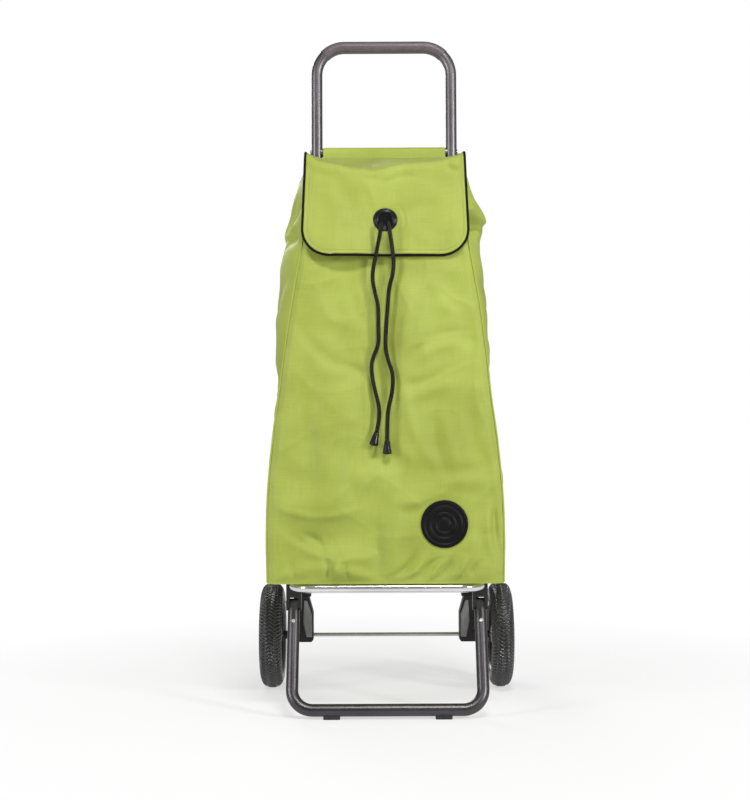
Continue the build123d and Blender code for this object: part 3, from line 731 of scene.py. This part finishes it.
def gusset_point(side, g, z):
    """Point of a side panel: g runs from 0 at the front seam to 1 at the back seam."""
    front, back = smooth_curve(z, FRONT_HALF), smooth_curve(z, BACK_HALF)
    widest = smooth_curve(z, SIDE_RIGHT if side > 0 else SIDE_LEFT, 1.0)
    base = front + (back - front) * g
    peak = np.maximum(widest - (front + (back - front) * 0.38), 0)
    swell = np.sin(np.pi * np.clip(g, 0, 1) ** 0.72)
    depth = bag_back(z) - bag_front(z)
    inside = np.sin(np.pi * g) ** 0.6 * smoothstep(z, 0.19, 0.22)
    relief = 1.3 * crease(g * depth, z, GUSSET_FOLDS)
    relief = relief + ripples(g * depth + 0.4 * side, z, 21 + side, 0.09, 0.002)
    x = base + peak * swell + inside * relief
    x = x + point_fold(side, g, z) + side * drift(z)
    y = bag_front(z) + CORNER_SET + (depth - CORNER_SET) * g
    return np.stack(np.broadcast_arrays(side * x, y, z), -1)


def point_fold(side, g, z):
    """The slack cloth beside the flap stands out in a pointed fold, softer on the left."""
    peak_z, reach, hollow = (0.733, 0.0085, 0.026) if side > 0 else (0.712, 0.005, 0.012)
    tilt = peak_z + 0.05 * np.maximum(0.3 - g, 0) - 0.018 * np.maximum(g - 0.3, 0)
    above, below = (z - tilt) / 0.03, (tilt - z) / 0.0055
    tent = np.maximum(0, 1 - np.where(z > tilt, above, below))
    deep = np.clip(0.017 - 0.03 * g, 0.005, 1)
    under = bell(z - tilt + 0.003 + deep, 0, deep) * bell(g, 0.17, 0.16)
    near = bell(g, 0.3, np.where(g < 0.3, 0.34, 0.2))
    return smoothstep(g, 0, 0.08) * (reach * near * tent - hollow * under)


def back_point(s, z):
    half = smooth_curve(z, BACK_HALF)
    sway = ripples(s * half, z, 31, 0.15, 0.0008) * (1 - s * s)
    return np.stack(np.broadcast_arrays(drift(z) - s * half, bag_back(z) - 0.0012 + sway * 0.8, z), -1)


FRONT_COLS, GUSSET_COLS, BACK_COLS, BAG_ROWS = 150, 70, 90, 300
# When the platform folds up, the front of the bag falls back onto this slanting plane, which runs from the
# bottom of its back to the front of its mouth
FOLD_ANCHOR = np.array((0, bag_back(BASE_Z), BASE_Z))
FOLD_LINE = np.array((0, bag_front(MOUTH_Z) - 0.002, MOUTH_Z)) - FOLD_ANCHOR
FOLD_AXIS = np.array((0, FOLD_LINE[2], -FOLD_LINE[1])) / np.hypot(FOLD_LINE[1], FOLD_LINE[2])


def gathers(points, around):
    """Small pleats that the drawstring makes, growing towards the mouth."""
    away = unit((points - points.mean(axis=0)) * (1, 1, 0))
    rng = np.random.default_rng(5)
    pace = np.interp(around, np.linspace(0, 1, 60), np.cumsum(rng.uniform(0.7, 1.3, 60)))
    rise = smoothstep(points[:, 2], MOUTH_Z - 0.045, MOUTH_Z - 0.004)
    return points + away * (GATHER_DEPTH * rise * np.sin(pace * 2 * math.pi * GATHERS / pace.max()))[:, None]


def bag_rings():
    """Rings of points from the base up to the mouth, and their place on the cloth."""
    s = np.linspace(-1, 1, FRONT_COLS, endpoint=False)
    g = np.linspace(0, 1, GUSSET_COLS, endpoint=False)
    b = np.linspace(-1, 1, BACK_COLS, endpoint=False)
    rings, cloth = [], []
    for z in BASE_Z + (MOUTH_Z - BASE_Z) * np.linspace(0, 1, BAG_ROWS):
        ring = np.concatenate([front_point(s, z), gusset_point(1, g, z), back_point(b, z),
                               gusset_point(-1, 1 - g, z)])
        ring = gathers(ring, np.linspace(0, 1, len(ring)))
        ring[:, 2] = lifted(*ring.T)
        step = np.linalg.norm(np.diff(ring, axis=0, prepend=ring[-1:]), axis=1)
        rings.append(ring)
        cloth.append(np.column_stack([np.cumsum(step), np.full(len(ring), z)]))
    return np.array(rings), np.array(cloth)


def add_bag():
    """The bag's front and back shells and its hem. Returns the front shell."""
    rings, cloth = bag_rings()
    count = rings.shape[1]
    lowest = rings[0]
    centre = lowest.mean(axis=0)
    base = []
    for share in np.linspace(1, 0, 26)[1:-1]:
        ring = centre + (lowest - centre) * share
        ring[:, 2] = BASE_Z + FABRIC
        base.append(ring)
    base = np.array(base[::-1])
    points = np.concatenate([base.reshape(-1, 3), rings.reshape(-1, 3), [centre + (0, 0, FABRIC)]])
    weave = np.concatenate([base.reshape(-1, 3)[:, :2], cloth.reshape(-1, 2), [centre[:2]]])
    faces = grid_faces(len(base) + len(rings), count, True)
    tip = len(points) - 1
    faces += [(tip, (c + 1) % count, c) for c in range(count)]
    middles = np.array([points[list(face)].mean(axis=0) for face in faces])
    is_front = (middles - FOLD_ANCHOR) @ FOLD_AXIS < 0.0005
    pieces = []
    for name, wanted in (("bag_shell", True), ("bag_back_shell", False)):
        own = [face for face, front in zip(faces, is_front) if front == wanted]
        piece = add_mesh(name, points, own, "bag_fabric", "frame", weave)
        thicken(piece, FABRIC)
        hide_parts("bag_body")
        pieces.append(piece)
    add_hem(rings[-1])
    return pieces[0]


def add_hem(rim):
    """The rolled channel round the mouth that holds the drawstring."""
    inward = unit((rim.mean(axis=0) - rim) * (1, 1, 0))
    path, sides = rim + inward * 0.0016 - (0, 0, 0.0022), 10
    points, faces = tube_mesh(path, 0.003, sides, closed=True)
    along, around = np.arange(len(path)) * 0.0022, np.arange(sides) * 0.0018
    weave = np.column_stack([np.repeat(along, sides), np.tile(around, len(path))])
    hem = add_mesh("mouth_hem", points, faces, "bag_fabric", "frame", weave)
    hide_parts("drawstring")


def add_seams():
    """Raised welts where the front panel meets the side panels."""
    pieces = []
    heights = np.linspace(BASE_Z + 0.003, 0.8, 320)
    for side, name in ((-1, "left"), (1, "right")):
        path = front_point(np.full(len(heights), float(side)), heights)
        path[:, 2] = lifted(*path.T)
        path += (side * 0.0004, -0.0004, 0)
        points, faces = tube_mesh(path, 0.0013, 8)
        pieces.append(add_mesh("front_seam_" + name, points, faces, "bag_fabric", "frame", points[:, [0, 2]]))
    return pieces


# ---- stitches ----

STITCH, STITCH_GAP, THREAD = 0.0024, 0.0011, 0.00032


def stitch_row(path, normals):
    """Points and faces of a row of stitches along a path that lies on cloth."""
    path = resampled_with(path, normals, STITCH + STITCH_GAP)
    spots, ups = path[:, :3], path[:, 3:]
    shape = [(-1, 0, -0.6), (-0.75, 1, -0.2), (-0.75, -1, -0.2), (0, 1.1, 0.4), (0, -1.1, 0.4),
             (0.75, 1, -0.2), (0.75, -1, -0.2), (1, 0, -0.6), (0, 0, 1.3)]
    facets = [(0, 2, 1), (1, 2, 8), (1, 8, 3), (2, 4, 8), (3, 8, 5), (4, 6, 8), (5, 8, 6), (5, 6, 7),
              (0, 1, 3), (0, 3, 4), (0, 4, 2), (7, 4, 3), (7, 3, 5), (7, 6, 4)]
    points, faces = [], []
    for here, there, up in zip(spots, spots[1:], ups):
        along = unit(there - here)
        up = unit(up - along * up.dot(along))
        across = np.cross(up, along)
        first = len(points)
        for a, b, c in shape:
            points.append((here + there) / 2 + along * a * STITCH / 2 + across * b * THREAD + up * c * THREAD)
        faces += [tuple(first + i for i in f) for f in facets]
    return points, faces


def resampled_with(path, normals, step):
    """Evenly spaced points of a path with the normals there."""
    both, distance = np.column_stack([path, normals]), distances(path)
    even = np.linspace(0, distance[-1], max(2, int(distance[-1] / step)) + 1)
    return np.column_stack([np.interp(even, distance, column) for column in both.T])


def add_stitches(name, rows, body):
    """Stitches along rows of (path, normal of the cloth)."""
    points, faces = [], []
    for path, normal in rows:
        more, facets = stitch_row(path, np.tile(np.array(normal, float), (len(path), 1)))
        faces += [tuple(i + len(points) for i in f) for f in facets]
        points += more
    return add_mesh(name, points, faces, "thread", body, smooth=False)


def add_bag_stitches():
    rows = []
    heights = np.linspace(BASE_Z + 0.01, 0.66, 260)
    for side in (-1, 1):
        path = front_point(side * (1 - 0.0042 / smooth_curve(heights, FRONT_HALF)), heights)
        rows.append((path, (0, -1, 0.05)))
    across = np.linspace(-0.965, 0.965, 240)
    path = front_point(across, np.full(len(across), BASE_Z + 0.0085))
    return add_stitches("bag_stitches", [*rows, (path, (0, -1, 0))], "frame")


# ---- badge ----


def add_badge():
    """Plain round moulded badge with raised rings, lying on the front panel."""
    rings = metres([
        (0, 2.2), (4, 2.2), (8.5, 2.2), (9.2, 1.2), (11.2, 1.2), (11.9, 2.2), (16.5, 2.3), (17.2, 1.3),
        (19.2, 1.3), (19.9, 2.4), (26.2, 2.5), (26.8, 1.8), (28.2, 1.8), (28.8, 2.7), (32.8, 2.7), (34, 2.1),
        (34.5, 1), (34.5, -1.2),
    ])
    turn = turns(96)
    points = []
    for radius, height in rings:
        x = BADGE_X + radius * np.cos(turn)
        z = BADGE_Z + radius * np.sin(turn)
        ground = bag_front(z) - front_relief(x, z, x / smooth_curve(z, FRONT_HALF))
        points.append(np.column_stack([x, ground - height, z]))
    faces = grid_faces(len(rings), len(turn), True)
    badge = add_mesh("round_badge", np.concatenate(points), faces, "badge_plastic", "frame")
    weld(badge)
    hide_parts("badge")
    return badge


# ---- flap ----

FLAP_LOW, FLAP_CORNER = 0.6735, 0.042
FLAP_TOP_HALF, FLAP_LOW_HALF = 0.1195, 0.1245
FLAP_REST = 0.0046  # from the bag's front plane
CORNER_RISE = 0.0034  # the hinge line is this much higher at its ends
STITCH_INSET = 0.0062
FLAP_CLOTH = 0.0012
EYELET_Z = 0.726
EYELET_RADIUS, EYELET_HOLE = 0.0185, 0.0108
# How far the flap's lower edge stands off the bag beyond its resting distance, from left to right
KICK = metres([
    (-125, 1), (-98, 7), (-74, 14.5), (-45, 13), (-27, 7.5), (-14, 2.7), (20, 3.2), (36, 7), (60, 5),
    (90, 1.5), (125, 0),
])
FLAP_FOLDS = metres([
    (-100, 812, -60, 803, 5, 1.6), (-112, 800, -70, 792, 6, -1.2), (-52, 803, -4, 795, 4.5, 3.4),
    (-40, 793, 0, 787, 4.5, -3), (-4, 797, 40, 806, 4.5, 2.6), (0, 788, 50, 799, 4.5, -1.8),
    (86, 812, 108, 800, 3.5, -2.6), (76, 820, 110, 808, 5, 1.8), (-90, 790, -70, 730, 12, 1.4),
    (-60, 780, -40, 720, 10, -1), (10, 745, 60, 775, 8, 1), (24, 738, 80, 752, 8, -0.9),
    (-12, 742, -30, 790, 7, 0.9), (30, 710, 90, 690, 10, 1), (-30, 712, -80, 690, 10, 1.2),
])


def straight_half(z):
    """Half the flap's width at height z, as if its lower corners were square."""
    return np.interp(z, (0.7, 0.83), (FLAP_LOW_HALF, FLAP_TOP_HALF))


def flap_half(z):
    """Half the flap's width at height z, narrowing round its lower corners."""
    down = np.clip((FLAP_LOW + FLAP_CORNER - z) / FLAP_CORNER, 0, 1)
    return straight_half(z) - FLAP_CORNER * (1 - np.sqrt(1 - down**2))


def edge_distance(x, z):
    """Distance from a point of the flap to its edge."""
    half = straight_half(z)
    dx, dz = half - FLAP_CORNER - np.abs(x), z - FLAP_LOW - FLAP_CORNER
    in_corner = (dx < 0) & (dz < 0)
    return np.where(in_corner, FLAP_CORNER - np.hypot(dx, dz), np.minimum(half - np.abs(x), z - FLAP_LOW))


def flap_stand(x, z):
    """How far the flap's front is from the bag's front plane."""
    low = 1 - smoothstep(z, FLAP_LOW, FLAP_LOW + 0.08)
    wrap = 0.003 * smoothstep(np.abs(x), 0.1, 0.125)
    eyelet = np.hypot(x, z - EYELET_Z)
    calm = smoothstep(eyelet, EYELET_RADIUS - 0.002, EYELET_RADIUS + 0.01)
    rings = 0.00045 * np.cos(eyelet * 2 * math.pi / 0.0085) * bell(eyelet, 0.026, 0.01)
    relief = 1.5 * crease(x, z, FLAP_FOLDS) + ripples(x, z, 41, 0.1, 0.001)
    relief = relief + ripples(x, z, 47, 0.04, 0.0003) + rings
    return FLAP_REST + low * np.interp(x, *zip(*KICK)) - wrap + calm * relief


def flap_column(u):
    """Points from the hinge over the brow to the lower edge, at share u of the flap's half width."""
    top_x = u * FLAP_TOP_HALF
    brow = np.interp(top_x, *zip(*BROW)) + 0.0006 * math.sin(top_x * 150)
    hinge_z = FLAP_HINGE[2] + CORNER_RISE * smoothstep(abs(top_x), 0.098, FLAP_TOP_HALF)
    front = bag_front(brow)
    rise = hinge_z - brow
    run = FLAP_HINGE[1] - front
    slack = 0.004 * (1 - u * u) * math.sin(top_x * 60 + 1.3)
    knots = [(FLAP_HINGE[1], hinge_z), (FLAP_HINGE[1] - 0.15 * run, hinge_z - 0.1 * rise),
             (FLAP_HINGE[1] - 0.45 * run, hinge_z - 0.46 * rise + slack),
             (FLAP_HINGE[1] - 0.75 * run, hinge_z - 0.74 * rise + slack),
             (front + 0.012, brow + 0.1 * rise), (front - 0.001, brow), (front - 0.0052, brow - 0.0075)]
    for z in np.linspace(brow - 0.016, FLAP_LOW, 40):
        knots.append((bag_front(z) - flap_stand(u * flap_half(z), z), z))
    line, length = resampled(np.array([(0, y, z) for y, z in knots]), 0.001)
    kernel = np.exp(-0.5 * (np.arange(-9, 10) / 3.2) ** 2)
    kernel /= kernel.sum()
    smooth = line.copy()
    for axis in (1, 2):
        padded = np.pad(line[:, axis], 9, "reflect", reflect_type="odd")
        smooth[:, axis] = np.convolve(padded, kernel, "valid")
    smooth[:, 2] = np.maximum(smooth[:, 2], FLAP_LOW)
    return smooth, length


FLAP_ROWS, FLAP_COLS = 260, 190
EDGE_ROWS, EDGE_SHARE = 70, 0.12  # rows packed closer towards the lower edge


def flap_grid():
    """Rows of points from the flap's lower edge to its hinge, and their place on the cloth."""
    packed = EDGE_SHARE * np.linspace(0, 1, EDGE_ROWS, endpoint=False) ** 1.6
    share = 1 - np.concatenate([packed, np.linspace(EDGE_SHARE, 1, FLAP_ROWS - EDGE_ROWS)])
    columns, cloth = [], []
    for u in np.linspace(-1, 1, FLAP_COLS):
        line, length = flap_column(u)
        _, y, z = (np.interp(share * (len(line) - 1), np.arange(len(line)), column) for column in line.T)
        x = u * flap_half(z)
        front_part = 1 - smoothstep(y, bag_front(z) - 0.003, bag_front(z) + 0.004)
        inward = edge_distance(x, z)
        ridge = 0.0007 * bell(inward, 0.003, 0.0016) - 0.0005 * bell(inward, STITCH_INSET, 0.001)
        y = y - ridge * front_part
        z = z + ridge * (1 - front_part)
        columns.append(np.column_stack([x, y, z]))
        cloth.append(np.column_stack([x, share * length]))
    return np.array(columns).transpose(1, 0, 2), np.array(cloth).transpose(1, 0, 2), length


def add_flap():
    grid, cloth, length = flap_grid()
    points = grid.reshape(-1, 3)
    faces = []
    for face in grid_faces(*grid.shape[:2]):
        middle = points[list(face)].mean(axis=0)
        in_hole = math.hypot(middle[0], middle[2] - EYELET_Z) < EYELET_HOLE + 0.003
        if middle[1] > -0.04 or not in_hole:
            faces.append(face)
    flap = add_mesh("flap_cloth", points, faces, "bag_fabric", "flap", cloth.reshape(-1, 2))
    thicken(flap, FLAP_CLOTH)
    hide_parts("flap_panel")
    piping = add_piping(grid)
    stitches = add_flap_stitches(grid)
    eyelet, washer = add_eyelet()


def add_piping(grid):
    """Black binding rolled over the flap's edge."""
    edge = np.concatenate([grid[::-1, 0], grid[0, 1:-1], grid[:, -1]])
    path, _ = resampled(edge, 0.0016)
    outward = unit((path - path.mean(axis=0)) * (1, 0, 1))
    path = path + outward * 0.0006 + (0, 0.0005, 0)
    points, faces = tube_mesh(path, 0.002, 12)
    weave = np.column_stack([np.linalg.norm(points - points[0], axis=1), points[:, 1] + points[:, 2]])
    piping = add_mesh("flap_binding", points, faces, "piping", "flap", weave)
    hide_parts("flap_piping")
    return piping


def add_flap_stitches(grid):
    """A row of stitches inside the binding."""
    corner, centre = FLAP_CORNER - STITCH_INSET, FLAP_LOW_HALF - FLAP_CORNER
    outline = [(-(straight_half(height) - STITCH_INSET), height)
               for height in np.linspace(0.796, FLAP_LOW + FLAP_CORNER, 110)]
    for turn in np.linspace(0, math.pi / 2, 40)[1:]:
        outline.append((-centre - corner * math.cos(turn), FLAP_LOW + FLAP_CORNER - corner * math.sin(turn)))
    outline += [(-x, height) for x, height in reversed(outline)]
    path = on_flap(np.array(outline), grid) - (0, 0.0003, 0)
    return add_stitches("flap_stitches", [(path, (0, -1, 0))], "flap")


def on_flap(places, grid):
    """Points of the flap's front at those (x, z) places."""
    rows = int(np.argmax(grid[:, :, 2].min(axis=1) > 0.8))
    result = []
    for x, z in places:
        across = [(np.interp(z, line[:, 2], line[:, 0]), np.interp(z, line[:, 2], line[:, 1]))
                  for line in grid[:rows].transpose(1, 0, 2)]
        result.append((x, np.interp(x, *zip(*across)), z))
    return np.array(result)


def add_eyelet():
    """Moulded ring clenched on the flap, and the washer behind it that the cords come out of; the washer's
    middle is a closed black disc across the hole, painted shade where the open eyelet would show shade.
    """
    outward = unit(np.array((0, -1, 0.09)))
    centre = np.array((0, bag_front(EYELET_Z) - FLAP_REST, EYELET_Z))
    profile = metres([
        (-3, 10.6), (1.2, 10.6), (2.4, 11), (3.1, 12), (3.3, 13.2), (3, 14.2), (2.4, 14.7), (2.4, 15.3),
        (2.8, 16), (2.6, 17.2), (1.8, 18.1), (0.7, 18.6), (-0.4, 18.6), (-0.6, 17.8), (-0.4, 13),
        (-2.8, 12.2),
    ])
    points, faces = lathe(profile, centre, outward, (1, 0, 0), 72)
    ring = add_mesh("eyelet_ring", points, faces, "trim_plastic", "flap")
    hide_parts("eyelet_front")
    # the back washer: its middle is closed by a black disc, which stands in as painted shade inside the
    # eyelet's hole
    profile = metres([
        (-3, 0), (-3, 10.6), (-2.4, 11.8), (-1.8, 12.4), (-1.4, 12.8), (-1.3, 15.5), (-2, 15.8),
        (-2.6, 15.4), (-3.2, 13), (-3.6, 11.8), (-3.8, 0),
    ])
    points, faces = lathe(profile, centre, outward, (1, 0, 0), 48)
    washer = add_mesh("eyelet_washer_and_shade_disc", points, faces, "trim_plastic", "flap")
    weld(washer)
    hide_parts("eyelet_back")
    return ring, washer


# ---- hanger strip ----

BAR_Z = 0.858
BAR_BEHIND = 0.0125  # the crossbar's centre, behind the bag's back
SLEEVE_REACH = 0.0084
STRIP_HALF, STRIP_DROP = 0.0985, 0.058
STRIP_OUT = 0.0118  # how far the strip is in front of the crossbar's centre, at its lower edge


def add_hanger():
    """The cloth sleeve on the crossbar and the strip below it that the bag hangs from."""
    reach, half = SLEEVE_REACH, STRIP_HALF
    profile = [(0.0084, -0.015), (0.0066, -0.0118)]
    profile += [(reach * math.cos(a), reach * math.sin(a)) for a in np.radians(np.linspace(292, 0, 60))]
    profile += [(reach + (STRIP_OUT - reach) * t, -STRIP_DROP * t) for t in np.linspace(0.04, 1, 40)]
    columns = np.linspace(-half, half, 150)
    axis_y = bag_back(BAR_Z) + BAR_BEHIND
    line = resampled(np.array([(0, p, q) for p, q in profile]), 0.0012)[0]
    rows = []
    for _, p, q in line:
        welt = 0.0004 * smoothstep(np.abs(columns), half - 0.005, half - 0.003)
        away = p + (ripples(columns, q, 61, 0.07, 0.00035) + welt)
        y = axis_y + q * math.tan(LEAN) - away
        rows.append(np.column_stack([columns, y, np.full(len(columns), BAR_Z + q)]))
    grid = np.array(rows)
    distance = distances(line)
    weave = np.column_stack([np.tile(columns, len(line)), np.repeat(distance, len(columns))])
    faces = [tuple(reversed(f)) for f in grid_faces(*grid.shape[:2])]
    strip = add_mesh("hanger_strip", grid.reshape(-1, 3), faces, "bag_fabric", "frame", weave)
    thicken(strip, FABRIC)
    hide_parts("hanger_sleeve")


# ---- tyres ----

BLOCKS, PER_BLOCK = 84, 12
TREAD_DEPTH = 0.0024
ZIGZAG = 0.0082  # half a wave of the tread's bars, across the tyre
SEAT, WAIST = 0.0564, 0.0678  # radii where the tyre meets the rim, and at its widest


def add_tyre(node, body, side):
    """Foam-filled tyre with a zigzag tread of raised bars."""
    lo, hi = (np.array(v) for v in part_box(node))
    centre = (lo + hi) / 2
    radius, half = (hi[2] - lo[2]) / 2, (hi[0] - lo[0]) / 2
    turn = np.radians(np.concatenate([np.linspace(-8, 188, 64), np.linspace(188, 352, 22)[1:-1]]))
    across = half * np.sign(np.cos(turn)) * np.abs(np.cos(turn)) ** 0.85
    up = np.sin(turn)
    crown, side_wall = (radius - WAIST) * np.abs(up) ** 0.92, (WAIST - SEAT) * np.abs(up) ** 0.5
    level = np.where(up > 0, WAIST + crown, WAIST - side_wall)
    count = BLOCKS * PER_BLOCK
    angle = turns(count)
    zigzag = np.abs((across / ZIGZAG + 1) % 2 - 1)
    phase = (np.arange(count)[:, None] / PER_BLOCK + 1.15 * zigzag[None, :] * side) % 1
    bar = smoothstep(phase, 0.04, 0.22) * (1 - smoothstep(phase, 0.52, 0.7))
    treaded = smoothstep(up, 0.2, 0.36)
    line = 1 - 0.7 * bell(np.abs(across), ZIGZAG, 0.0007)
    depth = TREAD_DEPTH * treaded[None, :] * (1 - bar * line[None, :])
    bead = 0.0007 * bell(up, 0.05, 0.08)
    rings = level[None, :] - depth
    x = centre[0] + np.broadcast_to(across * (1 + bead / half), rings.shape)
    y, z = centre[1] + rings * np.cos(angle)[:, None], centre[2] + rings * np.sin(angle)[:, None]
    points = np.stack([x, y, z], -1)
    faces = grid_faces(count, len(turn), True, True)
    tyre = add_mesh("treaded_" + node, points.reshape(-1, 3), faces, "tyre", body)
    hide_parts(node)


def fold_flat(pieces):
    """Gives each piece of the bag's front its own copy of its mesh."""
    for piece in pieces:
        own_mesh(piece)


add_camera()
add_studio()
paint_cad_nodes()
add_cords()
fold_flat([add_bag(), *add_seams(), add_bag_stitches(), add_badge()])
add_flap()
add_hanger()
add_tyre("tyre_right", "wheel_right", 1)
add_tyre("tyre_left", "wheel_left", -1)
